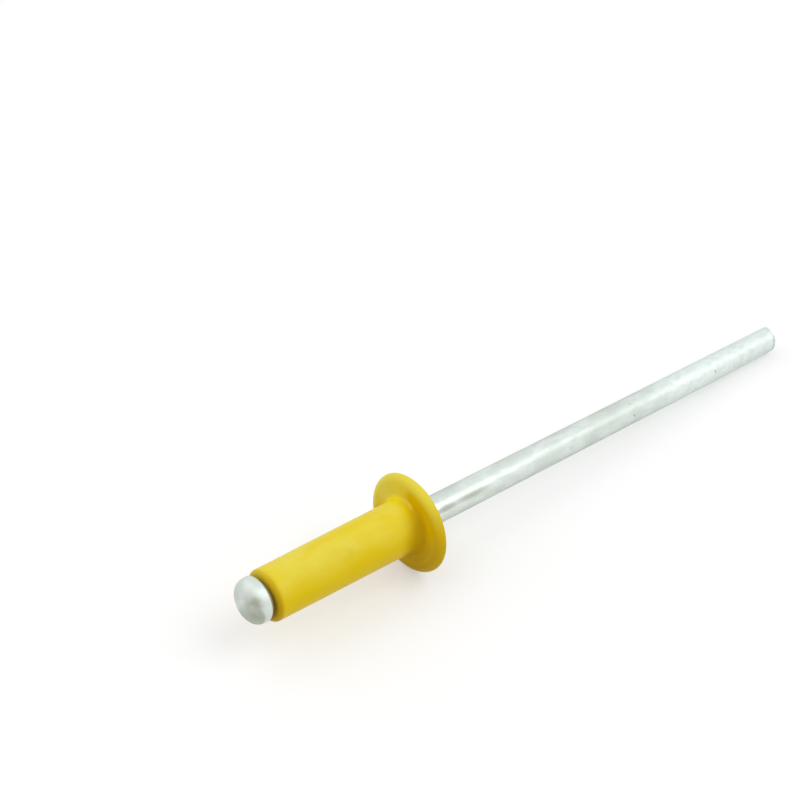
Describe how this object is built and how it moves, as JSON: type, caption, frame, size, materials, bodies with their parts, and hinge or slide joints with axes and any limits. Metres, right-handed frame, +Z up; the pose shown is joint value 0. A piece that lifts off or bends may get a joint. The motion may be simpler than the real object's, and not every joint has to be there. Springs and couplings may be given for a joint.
{
  "type": "blind rivet",
  "caption": "Unset open-end blind rivet: a yellow painted tubular body with a domed flange, on a bare metal mandrel whose round head closes the body's nose and whose long stem is gripped and pulled to set it.",
  "frame": {"origin": "on the surface that the rivet lies on, under the middle of its length", "axes": "+X runs along the rivet from its nose towards the tail of the mandrel, level with the surface; +Z is up; the rivet's own axis lies in the XZ plane and drops 3.85 degrees towards the tail"},
  "size_m": [0.0462, 0.0064, 0.0063],
  "materials": {
    "yellow_paint": "satin yellow paint on aluminium",
    "zinc_plate": "pale mottled zinc plating on drawn steel wire"
  },
  "bodies": {
    "root": {"rivet_body": "yellow_paint", "mandrel": "zinc_plate"}
  },
  "joints": []
}
